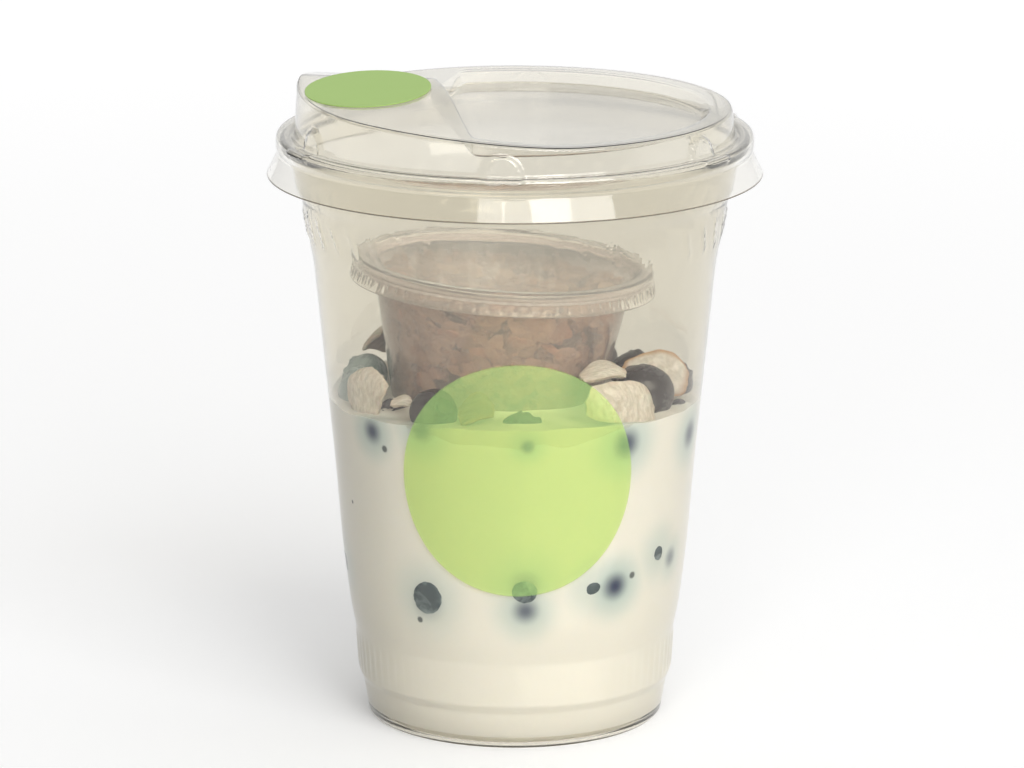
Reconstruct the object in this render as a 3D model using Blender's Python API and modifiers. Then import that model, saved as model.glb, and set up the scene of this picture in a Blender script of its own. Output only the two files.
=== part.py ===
"""A yogurt parfait: a clear lidded cup of yogurt with berries and coconut chips round a small tub of granola."""

import math
import random

import bmesh
import bpy
from mathutils import Matrix, Vector

# Lengths are millimetres until MM turns them into Blender's metres. Outlines are (radius, height).
MM = 0.001
GAP = 0.3

# Cup
CUP_STEPS = 32
CUP_WALL = 0.6
RIM_TOP = 123.5
RIM_BEAD = [(46.9, 123.1), (47.4, RIM_TOP), (48.2, RIM_TOP), (48.7, 123.0), (48.7, 121.7), (48.2, 121.1)]
WALL_OUTLINE = [
    (46.7, 120.9),
    (45.4, 113.0),
    (44.4, 111.0),
    (42.8, 101.5),
    (42.0, 98.0),
    (37.8, 55.4),
    (36.3, 37.0),
    (34.7, 24.0),
    (33.6, 18.7),
    (33.0, 9.5),
    (32.2, 7.9),
    (31.3, 2.8),
]
FOOT_OUTLINE = [(31.0, 0.9), (30.3, 0.0), (27.9, 0.0), (26.9, 2.4), (0.0, 2.9)]
FLOOR_OUTLINE = [(0.0, 3.5), (26.3, 3.0), (28.2, 0.7), (29.9, 0.7), (30.5, 1.5)]

# Lid, with a sip side that rises on one side and a dish in the middle
LID_WALL = 0.5
LID_SKIRT = [(51.5, 115.8), (49.5, 119.9), (49.1, 120.6), (49.6, 121.6), (49.6, 123.7)]
LID_SHELF = [(49.0, 124.4), (46.9, 124.4), (45.7, 123.9)]
RIDGE_TOP = 129.6
RIDGE_SHOULDERS = [(45.0, 1.6), (44.5, 0.5), (43.5, 0.0)]
DISH_EDGE_RADIUS = 40.3
DISH_FLOOR = 127.0
DISH_WALL_RUN = 1.8
DISH_WALL_RUN_SIP = 0.8
DISH_CORNER = (-17.9, 11.8)
DISH_CUT_SLOPES = (0.244, -0.184)
SIP_ANGLE = math.radians(205)
SIP_FULL = math.radians(25)
SIP_END = math.radians(84)
SIP_SLOPE_X = math.tan(math.radians(2.3))
SIP_SLOPE_Y = math.tan(math.radians(5.4))
SIP_CAP = 135.4
LIP_WIDTH = 1.0
LIP_DROP = 0.1
LIP_FALL = 0.3

# Stickers
TOP_LABEL_RADIUS = 13.0
TOP_LABEL_CENTRE = (-30.2, -8.7, 135.0)
LABEL_THICKNESS = 0.25
FRONT_LABEL_RADIUS = 24.9
FRONT_LABEL_HEIGHT = 59.3
FRONT_LABEL_ANGLE = math.radians(271)
LABEL_COLUMNS = 14
LABEL_ROWS = 4

# Granola tub and its lid, about the tub's own axis
TUB_STEPS = 28
TUB_BASE = (-4.3, 0.0, 65.6)
TUB_TILT = math.radians(3.8)
TUB_WALL = 0.5
TUB_FOOT_RADIUS = 21.3
TUB_TAPER = 0.204
TUB_LEDGE = 25.6
TUB_RIM_TOP = 30.0
TUB_FOOT_OUTSIDE = [(20.7, 0.0), (0.0, 0.0)]
TUB_FOOT_INSIDE = [(0.0, 0.5), (20.3, 0.5)]
TUB_FOOT_ROUND = (0.9, 1.3)
TUB_RIM_INSIDE = [(27.5, 26.5), (27.7, 29.2), (29.0, TUB_RIM_TOP)]
TUB_RIM_OUTSIDE = [(30.4, TUB_RIM_TOP), (30.4, 28.8), (29.0, 29.3), (28.2, 29.0), (28.0, 26.4)]
TUB_CUT_TOP = 20.0
TUB_LID_PROFILE = [
    (0.0, 29.8),
    (26.9, 29.8),
    (28.4, 31.5),
    (30.7, 31.5),
    (31.3, 30.8),
    (31.5, 29.2),
    (32.0, 26.7),
    (31.6, 26.7),
    (31.0, 29.0),
    (30.7, 30.9),
    (28.7, 30.9),
    (27.2, 29.2),
    (0.0, 29.2),
]

# Yogurt
YOGURT_LEVEL = 68.3
YOGURT_TILT = 0.9
YOGURT_TILT_ANGLE = math.radians(270)
YOGURT_RIPPLE = 0.45
YOGURT_SURFACE = [(0.45, -1.0), (0.85, 0.0), (1.0, 0.5)]
YOGURT_SURFACE_CENTRE = -1.0
YOGURT_SIDE_TOP = 63.6
YOGURT_FOOT = [(29.7, 1.1), (28.3, 1.1), (26.1, 3.4)]
YOGURT_FOOT_CENTRE = 3.9

# Blueberries on the yogurt: name, centre, radius, crown's lean and the way it leans in degrees
TOP_BERRIES = [
    ("berry_left", (-31.9, -6.0, 70.6), 5.0, 40, 140),
    ("berry_left_low", (-25.3, -15.4, 66.7), 4.3, 30, 250),
    ("berry_front_left", (-16.6, -28.5, 71.3), 5.0, 65, 300),
    ("berry_front", (1.5, -32.0, 67.2), 5.2, 25, 20),
    ("berry_right_large", (26.4, -17.2, 72.4), 6.5, 55, 110),
    ("berry_right_back", (25.4, 11.2, 69.6), 5.3, 35, 60),
    ("berry_right_edge", (32.6, -0.2, 71.0), 5.0, 45, 20),
    ("berry_right_small", (33.9, -12.4, 67.9), 1.7, 80, 300),
    ("berry_back_right", (16.5, 26.5, 69.2), 5.6, 30, 120),
    ("berry_back", (2.0, 31.5, 69.8), 5.9, 50, 80),
    ("berry_back_left", (-22.0, 24.0, 68.8), 5.2, 35, 200),
    ("berry_left_back", (-31.5, 9.5, 69.6), 5.0, 60, 170),
]

# Half the section of a blueberry of radius 1, with the dimple of its crown on top
BERRY_OUTLINE = [(0.0, 0.66), (0.24, 0.70), (0.40, 0.86), (0.80, 0.56), (1.0, 0.0), (0.70, -0.68), (0.0, -0.92)]
BERRY_STEPS = 9

# Blueberries in the yogurt, pressed flat on the cup's wall: name, way out from the axis, height, radius, press
WALL_BERRIES = [
    ("sunk_berry_1", 239.6, 32.9, 5.4, 0.9),
    ("sunk_berry_2", 273.0, 35.6, 5.0, 0.8),
    ("sunk_berry_3", 297.0, 35.2, 4.4, 0.35),
    ("sunk_berry_4", 324.8, 39.6, 4.4, 0.35),
    ("sunk_berry_5", 188.0, 34.0, 5.2, 0.6),
    ("sunk_berry_6", 20.0, 46.0, 5.4, 0.8),
    ("sunk_berry_7", 62.0, 31.0, 5.0, 0.7),
    ("sunk_berry_8", 104.0, 42.0, 5.6, 0.9),
    ("sunk_berry_9", 148.0, 33.5, 4.8, 0.6),
]

WALL_BERRY_COLUMNS = 10
WALL_BERRY_ROWS = 6

# Coconut chips: name, centre, way it faces, lean back from upright, roll, width, height, bulge
COCONUT_CHIPS = [
    ("chip_left", (-30.6, -18.3, 71.8), 229, 4, 62, 12.4, 9.4, 0.9),
    ("chip_left_bit", (-23.4, -21.0, 71.8), 250, 62, 0, 4.0, 3.0, 0.4),
    ("chip_right_low", (22.2, -29.0, 72.8), 300, 6, -22, 16.2, 9.0, 1.3),
    ("chip_right_flat", (18.0, -21.0, 78.4), 280, 72, 4, 9.6, 6.0, 0.9),
    ("chip_right_tall", (29.0, -7.6, 73.8), 272, 6, -10, 14.2, 9.4, 0.8),
    ("chip_front", (-8.0, -29.8, 72.4), 262, 50, 12, 7.2, 6.5, 0.9),
    ("chip_back", (9.0, 32.0, 76.6), 75, 62, 20, 12.0, 8.0, 1.2),
    ("chip_back_left", (-10.6, 30.8, 74.6), 105, 30, -15, 11.0, 8.0, 1.2),
    ("chip_left_back", (-28.2, 17.2, 76.8), 140, 40, 10, 12.0, 9.0, 1.4),
]
CHIP_THICKNESS = 0.9
CHIP_COLUMNS = 4
CHIP_ROWS = 3
CHIP_TAPER = 0.62
CHIP_SWEEP = 0.12
CHIP_CUP = 0.35
CHIP_TWIST = 0.25
SET_IN_YOGURT = ("chip_left", "chip_right_low", "chip_front")

# Granola, about the tub's axis
GRANOLA_SEED = 7
GRANOLA_CORE_INSET = 2.4
GRANOLA_FLOOR = 1.0
GRANOLA_TOP = 26.2
GRANOLA_LID_LIMIT = 28.8
GRANOLA_CORE_STEPS = 20
GRANOLA_CROWN = 0.9
GRANOLA_SHOULDER = 1.4
GRANOLA_CLEARANCE = 0.5
SIDE_ROWS = 4
SIDE_PER_ROW = 10
SIDE_LOWEST = 3.4
SIDE_DEPTH = 2.0
TOP_CLUSTERS = 16
LUMP_ROUGHNESS = 0.35
OAT_FLAKE = (3.9, 3.3, 1.5)
OAT_CLUSTER = (3.5, 3.3, 2.85)
NUT_SLIVER = (4.4, 1.6, 1.5)
OAT_FLAKE_SHARE = 0.45
OAT_CLUSTER_SHARE = 0.35

PARFAIT = "yogurt_parfait"
CUTTERS = "cutters"

CLEAR_PLASTIC = ("clear_plastic", (0.93, 0.91, 0.86), 0.08, 0.95)
TUB_PLASTIC = ("tub_plastic", (0.88, 0.85, 0.82), 0.2, 0.9)
YOGURT = ("yogurt", (0.83, 0.79, 0.70), 0.55, 0.0)
BERRY = ("blueberry", (0.035, 0.04, 0.06), 0.5, 0.0)
COCONUT = ("coconut", (0.82, 0.76, 0.66), 0.6, 0.0)
GRANOLA = ("granola", (0.42, 0.24, 0.13), 0.7, 0.0)
STICKER = ("sticker", (0.55, 0.74, 0.33), 0.45, 0.0)


def clear_scene():
    for item in list(bpy.data.objects):
        bpy.data.objects.remove(item, do_unlink=True)


def collection(name, hidden=False):
    made = bpy.data.collections.new(name)
    bpy.context.scene.collection.children.link(made)
    made.hide_render = hidden
    return made


def material(look):
    name, colour, roughness, transmission = look
    made = bpy.data.materials.get(name)
    if made is None:
        made = bpy.data.materials.new(name)
        made.use_nodes = True
        shader = made.node_tree.nodes["Principled BSDF"]
        shader.inputs["Base Color"].default_value = (*colour, 1.0)
        shader.inputs["Roughness"].default_value = roughness
        shader.inputs["Metallic"].default_value = 0.0
        shader.inputs["Transmission Weight"].default_value = transmission
    return made


def add_object(name, mesh, look, where=PARFAIT, parent=None):
    made = bpy.data.objects.new(name, mesh)
    bpy.data.collections[where].objects.link(made)
    if look is not None:
        mesh.materials.clear()
        mesh.materials.append(material(look))
    if where == CUTTERS:
        made.hide_render = True
        made.display_type = "WIRE"
    made.parent = parent
    return made


def mesh_from(name, form, smooth_angle=40):
    bmesh.ops.recalc_face_normals(form, faces=form.faces)
    mesh = bpy.data.meshes.new(name)
    form.to_mesh(mesh)
    form.free()
    mesh.shade_smooth()
    mesh.set_sharp_from_angle(angle=math.radians(smooth_angle))
    return mesh


def turned(name, outline, steps, look, where=PARFAIT, parent=None):
    """An outline from axis to axis, whose outer side runs down, turned once round Z."""
    form = bmesh.new()
    corners = [form.verts.new((radius * MM, 0.0, height * MM)) for radius, height in outline]
    for start, end in zip(corners, corners[1:]):
        form.edges.new((start, end))
    mesh = bpy.data.meshes.new(name)
    form.to_mesh(mesh)
    form.free()
    made = add_object(name, mesh, look, where, parent)
    screw = made.modifiers.new("turn", "SCREW")
    screw.steps = steps
    screw.render_steps = steps
    screw.use_merge_vertices = True
    screw.merge_threshold = 0.00001
    screw.use_smooth_shade = True
    return made


def loft(rings, steps, first_centre=None, last_centre=None):
    """Rings are functions of the angle that give (radius, height); a centre closes that end with a fan."""
    form = bmesh.new()
    angles = [2 * math.pi * step / steps for step in range(steps)]
    rows = []
    for ring in rings:
        row = []
        for angle in angles:
            radius, height = ring(angle)
            row.append(form.verts.new((radius * math.cos(angle) * MM, radius * math.sin(angle) * MM, height * MM)))
        rows.append(row)
    for upper, lower in zip(rows, rows[1:]):
        for step in range(steps):
            after = (step + 1) % steps
            form.faces.new((upper[step], upper[after], lower[after], lower[step]))
    for height, row in ((first_centre, rows[0]), (last_centre, rows[-1])):
        if height is None:
            continue
        centre = form.verts.new((0.0, 0.0, height * MM))
        for step in range(steps):
            form.faces.new((row[step], row[(step + 1) % steps], centre))
    return form


def smooth_step(value):
    value = min(1.0, max(0.0, value))
    return value * value * (3 - 2 * value)


def wall_radius(height):
    """Outer radius of the cup's wall at a height."""
    for (upper_radius, upper), (lower_radius, lower) in zip(WALL_OUTLINE, WALL_OUTLINE[1:]):
        if lower <= height <= upper:
            return lower_radius + (upper_radius - lower_radius) * (height - lower) / (upper - lower)
    return WALL_OUTLINE[-1][0]


def inside_radius(height):
    return wall_radius(height) - CUP_WALL


def make_cup():
    inside = [(radius - CUP_WALL, height) for radius, height in reversed(WALL_OUTLINE)]
    outline = FLOOR_OUTLINE + inside + RIM_BEAD + WALL_OUTLINE + FOOT_OUTLINE
    return turned("cup", outline, CUP_STEPS, CLEAR_PLASTIC)


def sip_plane(x, y):
    """Height of the raised sip side, which falls to the front and outwards under the sticker."""
    centre_x, centre_y, centre_z = TOP_LABEL_CENTRE
    height = centre_z - GAP + SIP_SLOPE_X * (x - centre_x) + SIP_SLOPE_Y * (y - centre_y)
    return min(height, SIP_CAP)


def sip_share(angle):
    """1 where the lid's top is the sip side, 0 where it is the plain ridge."""
    away = abs((angle - SIP_ANGLE + math.pi) % (2 * math.pi) - math.pi)
    return 1 - smooth_step((away - SIP_FULL) / (SIP_END - SIP_FULL))


def lid_top(radius, angle):
    x = radius * math.cos(angle)
    y = radius * math.sin(angle)
    return RIDGE_TOP + sip_share(angle) * (sip_plane(x, y) - RIDGE_TOP)


def dish_radius(angle):
    """The dish is round, cut off on the sip side by two straight edges that meet in a blunt corner."""
    corner_x, corner_y = DISH_CORNER
    reach = DISH_EDGE_RADIUS
    for slope in DISH_CUT_SLOPES:
        toward = slope * math.sin(angle) - math.cos(angle)
        if toward > 0:
            reach = min(reach, (slope * corner_y - corner_x) / toward)
    return reach


def make_lid():
    def level(radius, height):
        return lambda angle: (radius, height)

    def shoulder(radius, drop):
        return lambda angle: (radius, lid_top(radius, angle) - drop)

    def plateau(angle):
        radius = dish_radius(angle) + LIP_WIDTH
        return radius, lid_top(radius, angle) - LIP_DROP

    def dish_edge(angle):
        radius = dish_radius(angle)
        return radius, lid_top(radius, angle) - LIP_FALL

    def dish_foot(angle):
        run = DISH_WALL_RUN + (DISH_WALL_RUN_SIP - DISH_WALL_RUN) * sip_share(angle)
        return dish_radius(angle) - run, DISH_FLOOR

    rings = [level(*point) for point in LID_SKIRT + LID_SHELF]
    rings += [shoulder(*point) for point in RIDGE_SHOULDERS]
    rings += [plateau, dish_edge, dish_foot]
    mesh = mesh_from("lid", loft(rings, CUP_STEPS, last_centre=DISH_FLOOR), 30)
    made = add_object("lid", mesh, CLEAR_PLASTIC)
    shell = made.modifiers.new("wall", "SOLIDIFY")
    shell.thickness = LID_WALL * MM
    shell.offset = -1.0
    return made


def yogurt_top(radius, angle):
    tilt = YOGURT_TILT * math.cos(angle - YOGURT_TILT_ANGLE)
    ripple = YOGURT_RIPPLE * math.sin(3 * angle) * radius / inside_radius(YOGURT_LEVEL)
    return YOGURT_LEVEL + tilt + ripple


def make_yogurt(cutters):
    def surface(share, lift):
        def ring(angle):
            radius = share * (inside_radius(YOGURT_LEVEL) - GAP)
            return radius, yogurt_top(radius, angle) + lift

        return ring

    def level(radius, height):
        return lambda angle: (radius, height)

    side = [(radius - CUP_WALL - GAP, height) for radius, height in WALL_OUTLINE if height < YOGURT_SIDE_TOP]
    rings = [surface(*ring) for ring in YOGURT_SURFACE]
    rings += [level(*point) for point in side + YOGURT_FOOT]
    top_centre = YOGURT_LEVEL + YOGURT_SURFACE_CENTRE
    form = loft(rings, CUP_STEPS, first_centre=top_centre, last_centre=YOGURT_FOOT_CENTRE)
    made = add_object("yogurt", mesh_from("yogurt", form), YOGURT)
    for name, group in cutters:
        cut = made.modifiers.new(name, "BOOLEAN")
        cut.operation = "DIFFERENCE"
        cut.solver = "EXACT"
        cut.operand_type = "COLLECTION"
        cut.collection = group
    return made


def tub_frame():
    """Empty on the tub's axis, at its foot, leaning with the tub."""
    made = bpy.data.objects.new("tub_frame", None)
    bpy.data.collections[PARFAIT].objects.link(made)
    made.location = Vector(TUB_BASE) * MM
    made.rotation_euler = (0.0, TUB_TILT, 0.0)
    return made


def tub_radius(height):
    """Outer radius of the tub's tapered wall at a height over its foot."""
    return TUB_FOOT_RADIUS + TUB_TAPER * height


def make_tub(parent):
    round_outside, round_inside = TUB_FOOT_ROUND
    wall_outside = [(tub_radius(height), height) for height in (TUB_LEDGE, round_outside)]
    wall_inside = [(tub_radius(height) - TUB_WALL, height) for height in (round_inside, TUB_LEDGE)]
    inside = TUB_FOOT_INSIDE + wall_inside + TUB_RIM_INSIDE
    outside = TUB_RIM_OUTSIDE + wall_outside + TUB_FOOT_OUTSIDE
    return turned("portion_cup", inside + outside, TUB_STEPS, TUB_PLASTIC, parent=parent)


def make_tub_lid(parent):
    return turned("portion_lid", TUB_LID_PROFILE, TUB_STEPS, TUB_PLASTIC, parent=parent)


def tub_cutter(parent):
    """The tub's outer form with a gap all round, carried up through the yogurt."""
    wall = [(tub_radius(height) + GAP, height) for height in (TUB_CUT_TOP, TUB_FOOT_ROUND[0])]
    foot = [(TUB_FOOT_OUTSIDE[0][0] + GAP, -GAP), (0.0, -GAP)]
    return turned("tub_cutter", [(0.0, TUB_CUT_TOP)] + wall + foot, TUB_STEPS, None, CUTTERS, parent)


def granola_limit(height):
    """How far out the granola reaches at a height over the tub's foot."""
    return tub_radius(max(height, GRANOLA_FLOOR)) - TUB_WALL - GRANOLA_CLEARANCE


def lump(name, centre, size, turn, draw):
    """A crumb or cluster: a rough ball, flattened, that stays inside the tub's wall, floor and lid."""
    form = bmesh.new()
    bmesh.ops.create_icosphere(form, subdivisions=1, radius=1.0)
    for corner in form.verts:
        rough = 1 + LUMP_ROUGHNESS * (draw.random() - 0.5)
        point = Vector([corner.co[axis] * size[axis] * rough for axis in range(3)])
        point.rotate(turn)
        point += Vector(centre)
        point.z = min(max(point.z, GRANOLA_FLOOR), GRANOLA_LID_LIMIT)
        reach = math.hypot(point.x, point.y)
        most = granola_limit(point.z)
        if reach > most:
            point.x *= most / reach
            point.y *= most / reach
        corner.co = point * MM
    mesh = bpy.data.meshes.new(name)
    form.to_mesh(mesh)
    form.free()
    return mesh


def lump_size(draw):
    kind = draw.random()
    if kind < OAT_FLAKE_SHARE:
        size = OAT_FLAKE
    elif kind < OAT_FLAKE_SHARE + OAT_CLUSTER_SHARE:
        size = OAT_CLUSTER
    else:
        size = NUT_SLIVER
    growth = 0.87 + 0.26 * draw.random()
    return [side * growth for side in size]


def make_granola(parent):
    """A heap: a plain core with the clusters that show at the wall and on top fused to it."""
    draw = random.Random(GRANOLA_SEED)
    heap = collection("granola_heap")
    foot = tub_radius(GRANOLA_FLOOR) - GRANOLA_CORE_INSET
    brim = tub_radius(GRANOLA_TOP) - GRANOLA_CORE_INSET
    crown = [(0.0, GRANOLA_TOP + GRANOLA_CROWN), (brim * 0.6, GRANOLA_TOP + GRANOLA_CROWN * 0.6)]
    side = [(brim, GRANOLA_TOP - GRANOLA_SHOULDER), (foot, GRANOLA_FLOOR), (0.0, GRANOLA_FLOOR)]
    core = turned("granola", crown + side, GRANOLA_CORE_STEPS, GRANOLA, parent=parent)

    def fuse(index, centre):
        turn = Matrix.Rotation(draw.random() * math.tau, 3, "Z")
        turn = turn @ Matrix.Rotation((draw.random() - 0.5) * 2.6, 3, "X")
        mesh = lump(f"lump_{index}", centre, lump_size(draw), turn, draw)
        made = bpy.data.objects.new(mesh.name, mesh)
        made.parent = parent
        heap.objects.link(made)

    for row in range(SIDE_ROWS):
        height = SIDE_LOWEST + row * (GRANOLA_TOP - 1.2 - SIDE_LOWEST) / (SIDE_ROWS - 1)
        for place in range(SIDE_PER_ROW):
            angle = math.tau * (place + 0.5 * (row % 2) + 0.3 * draw.random()) / SIDE_PER_ROW
            radius = granola_limit(height) - SIDE_DEPTH
            centre = (radius * math.cos(angle), radius * math.sin(angle), height + 1.6 * draw.random())
            fuse(row * SIDE_PER_ROW + place, centre)
    golden = math.pi * (3 - math.sqrt(5))
    for place in range(TOP_CLUSTERS):
        radius = (brim - SIDE_DEPTH) * math.sqrt((place + 0.5) / TOP_CLUSTERS)
        angle = golden * place
        centre = (radius * math.cos(angle), radius * math.sin(angle), GRANOLA_TOP - 0.4 + 1.2 * draw.random())
        fuse(SIDE_ROWS * SIDE_PER_ROW + place, centre)

    join = core.modifiers.new("clusters", "BOOLEAN")
    join.operation = "UNION"
    join.solver = "MANIFOLD"
    join.operand_type = "COLLECTION"
    join.collection = heap
    bpy.context.view_layer.update()
    graph = bpy.context.evaluated_depsgraph_get()
    joined = bpy.data.meshes.new_from_object(core.evaluated_get(graph))
    core.modifiers.clear()
    core.data = joined
    for item in list(heap.objects):
        bpy.data.objects.remove(item, do_unlink=True)
    bpy.data.collections.remove(heap)
    return core


def label_outline(column, columns, row, rows, radius):
    """A grid of columns and rows squeezed into a disc."""
    across = radius * math.sin(math.pi / 2 * (2 * column / columns - 1))
    half = math.sqrt(max(0.0, radius * radius - across * across))
    return across, half * (2 * row / rows - 1)


def disc_grid(radius, columns, rows, place):
    """A disc of quads in columns, each corner put where place(across, up) says."""
    form = bmesh.new()
    bmesh.ops.create_grid(form, x_segments=columns, y_segments=rows, size=1.0)
    for corner in form.verts:
        column = round((corner.co.x + 1) / 2 * columns)
        row = round((corner.co.y + 1) / 2 * rows)
        corner.co = place(*label_outline(column, columns, row, rows, radius))
    bmesh.ops.remove_doubles(form, verts=form.verts, dist=0.00001)
    return form


def solid_label(name, form):
    bmesh.ops.triangulate(form, faces=form.faces)
    made = add_object(name, mesh_from(name, form), STICKER)
    shell = made.modifiers.new("paper", "SOLIDIFY")
    shell.thickness = LABEL_THICKNESS * MM
    shell.offset = 1.0
    return made


def make_front_label():
    """A round sticker bent round the cup's wall."""

    def on_wall(across, up):
        height = FRONT_LABEL_HEIGHT + up
        radius = wall_radius(height) + GAP
        angle = FRONT_LABEL_ANGLE + across / radius
        return Vector((radius * math.cos(angle), radius * math.sin(angle), height)) * MM

    return solid_label("label_front", disc_grid(FRONT_LABEL_RADIUS, LABEL_COLUMNS, LABEL_ROWS, on_wall))


def make_top_label():
    """A round sticker on the lid's sip side."""
    centre_x, centre_y, centre_z = TOP_LABEL_CENTRE

    def on_lid(across, up):
        height = centre_z + SIP_SLOPE_X * across + SIP_SLOPE_Y * up
        return Vector((centre_x + across, centre_y + up, height)) * MM

    return solid_label("label_top", disc_grid(TOP_LABEL_RADIUS, LABEL_COLUMNS, 2, on_lid))


def berry_turn(lean, way):
    return Matrix.Rotation(math.radians(way), 4, "Z") @ Matrix.Rotation(math.radians(lean), 4, "Y")


def make_berry(name, centre, radius, lean, way, look, where):
    outline = [(reach * radius, height * radius) for reach, height in BERRY_OUTLINE]
    made = turned(name, outline, BERRY_STEPS, look, where)
    made.matrix_world = Matrix.Translation(Vector(centre) * MM) @ berry_turn(lean, way)
    return made


def make_top_berries(cutters):
    for name, centre, radius, lean, way in TOP_BERRIES:
        make_berry(name, centre, radius, lean, way, BERRY, PARFAIT)
        cutter = make_berry(name + "_cutter", centre, radius + GAP, lean, way, None, CUTTERS)
        cutters.objects.link(cutter)


def press_on_wall(form, centre):
    """Moves the corners that would pass the cup's wall back to it."""
    for corner in form.verts:
        point = corner.co / MM + centre
        reach = math.hypot(point.x, point.y)
        most = inside_radius(point.z) - GAP
        if reach > most:
            point.x *= most / reach
            point.y *= most / reach
        corner.co = (point - centre) * MM


def ball(radius):
    form = bmesh.new()
    columns, rows = WALL_BERRY_COLUMNS, WALL_BERRY_ROWS
    bmesh.ops.create_uvsphere(form, u_segments=columns, v_segments=rows, radius=radius * MM)
    return form


def make_wall_berries(cutters):
    for name, way, height, radius, press in WALL_BERRIES:
        out = inside_radius(height) - radius + press
        angle = math.radians(way)
        centre = Vector((out * math.cos(angle), out * math.sin(angle), height))
        form = ball(radius)
        press_on_wall(form, centre)
        made = add_object(name, mesh_from(name, form), BERRY)
        made.location = centre * MM
        cutter = add_object(name + "_cutter", mesh_from(name + "_cutter", ball(radius + GAP)), None, CUTTERS)
        cutter.location = centre * MM
        cutters.objects.link(cutter)


def chip_form(width, height, bulge, columns, rows):
    """A curved shard with rounded ends, before it is given its thickness."""
    form = bmesh.new()
    bmesh.ops.create_grid(form, x_segments=columns, y_segments=rows, size=0.5)
    for corner in form.verts:
        across, up = 2 * corner.co.x, 2 * corner.co.y
        narrow = math.sqrt(1 - CHIP_TAPER * across * across)
        sweep = CHIP_SWEEP * math.sin(2.2 * across + 1.0)
        twist = CHIP_TWIST * math.sin(3 * across + up)
        x = across * width / 2
        y = up * height / 2 * narrow + sweep * height
        z = bulge * (twist - across * across - CHIP_CUP * up * up)
        corner.co = Vector((x, y, z)) * MM
    bmesh.ops.triangulate(form, faces=form.faces)
    return form


def make_chips(cutters):
    for name, centre, way, lean, roll, width, height, bulge in COCONUT_CHIPS:
        turn = Matrix.Rotation(math.radians(way + 90), 4, "Z")
        turn = turn @ Matrix.Rotation(math.radians(90 - lean), 4, "X")
        turn = turn @ Matrix.Rotation(math.radians(roll), 4, "Z")
        place = Matrix.Translation(Vector(centre) * MM) @ turn
        made_twice = [(0.0, name, COCONUT, PARFAIT)]
        if name in SET_IN_YOGURT:
            made_twice.append((GAP, name + "_cutter", None, CUTTERS))
        for grow, label, look, where in made_twice:
            form = chip_form(width + 2 * grow, height + 2 * grow, bulge, CHIP_COLUMNS, CHIP_ROWS)
            made = add_object(label, mesh_from(label, form), look, where)
            shell = made.modifiers.new("chip", "SOLIDIFY")
            shell.thickness = (CHIP_THICKNESS + 2 * grow) * MM
            shell.offset = 0.0
            made.matrix_world = place
            if where == CUTTERS:
                cutters.objects.link(made)


def main():
    clear_scene()
    collection(PARFAIT)
    collection(CUTTERS, hidden=True)
    topping_cutters = collection("topping_cutters", hidden=True)
    wall_cutters = collection("wall_cutters", hidden=True)
    tub_cutters = collection("tub_cutters", hidden=True)

    make_cup()
    make_lid()
    make_front_label()
    make_top_label()
    tub = tub_frame()
    make_tub(tub)
    make_tub_lid(tub)
    tub_cutters.objects.link(tub_cutter(tub))
    make_top_berries(topping_cutters)
    make_chips(topping_cutters)
    make_wall_berries(wall_cutters)
    make_granola(tub)
    make_yogurt((("tub", tub_cutters), ("toppings", topping_cutters), ("sunk", wall_cutters)))


main()
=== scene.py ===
"""Looks of a yogurt parfait in a clear lidded cup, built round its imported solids."""

import math
import random

import bmesh
import bpy
from mathutils import Matrix, Vector, noise


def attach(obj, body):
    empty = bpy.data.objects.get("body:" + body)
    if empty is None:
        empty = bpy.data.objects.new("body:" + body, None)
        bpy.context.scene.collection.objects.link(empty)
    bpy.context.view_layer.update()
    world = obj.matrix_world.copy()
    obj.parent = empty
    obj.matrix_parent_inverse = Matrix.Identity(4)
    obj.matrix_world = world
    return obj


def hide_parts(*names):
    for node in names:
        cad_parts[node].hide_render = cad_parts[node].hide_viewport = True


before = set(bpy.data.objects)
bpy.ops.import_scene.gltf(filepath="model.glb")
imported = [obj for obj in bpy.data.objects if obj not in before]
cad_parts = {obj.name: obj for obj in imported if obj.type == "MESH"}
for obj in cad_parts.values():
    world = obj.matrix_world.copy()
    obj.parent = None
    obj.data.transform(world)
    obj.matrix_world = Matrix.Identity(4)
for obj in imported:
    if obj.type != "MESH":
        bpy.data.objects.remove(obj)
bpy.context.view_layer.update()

# Lengths are millimetres until MM turns them into metres. Outlines are (radius, height, rounding).
MM = 0.001
FILLET_STEPS = 4

# Camera, fitted to the ellipses of the rim, the ring lines and the foot
CAMERA_LENS = 209.7
CAMERA_SENSOR = 36.0
CAMERA_ELEVATION = math.radians(13.92)
CAMERA_DISTANCE = 1249.15
CAMERA_AIM = (-0.6, 0.0, 70.27)

# Cup
CUP_STEPS = 336
CUP_WALL = 0.35
RIM_TOP = 123.5
RIM_BEAD = [
    (46.9, 123.1, 0.3),
    (47.4, RIM_TOP, 0.3),
    (48.2, RIM_TOP, 0.3),
    (48.7, 123.0, 0.3),
    (48.7, 121.7, 0.3),
    (48.2, 121.1, 0.3),
]
WALL_OUTLINE = [
    (46.7, 120.9, 0.4),
    (45.4, 113.0, 0.5),
    (44.4, 111.0, 0.5),
    (42.8, 101.5, 1.5),
    (42.0, 98.0, 3.0),
    (37.8, 55.4, 4.0),
    (36.3, 37.0, 4.0),
    (34.7, 24.0, 4.0),
    (33.6, 18.7, 0.6),
    (33.0, 9.5, 0.5),
    (32.2, 7.9, 0.5),
    (31.3, 2.8, 1.0),
]
FOOT_OUTLINE = [(31.0, 0.9, 0.4), (30.3, 0.0, 0.4), (27.9, 0.0, 0.3), (26.9, 2.4, 0.4), (0.0, 2.9, 0.0)]
FLOOR_OUTLINE = [(0.0, 3.5, 0.0), (26.3, 3.0, 0.4), (28.2, 0.7, 0.3), (29.9, 0.7, 0.3), (30.5, 1.5, 0.3)]
RIB_COUNT = 42
RIB_DEPTH = 0.32
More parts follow.
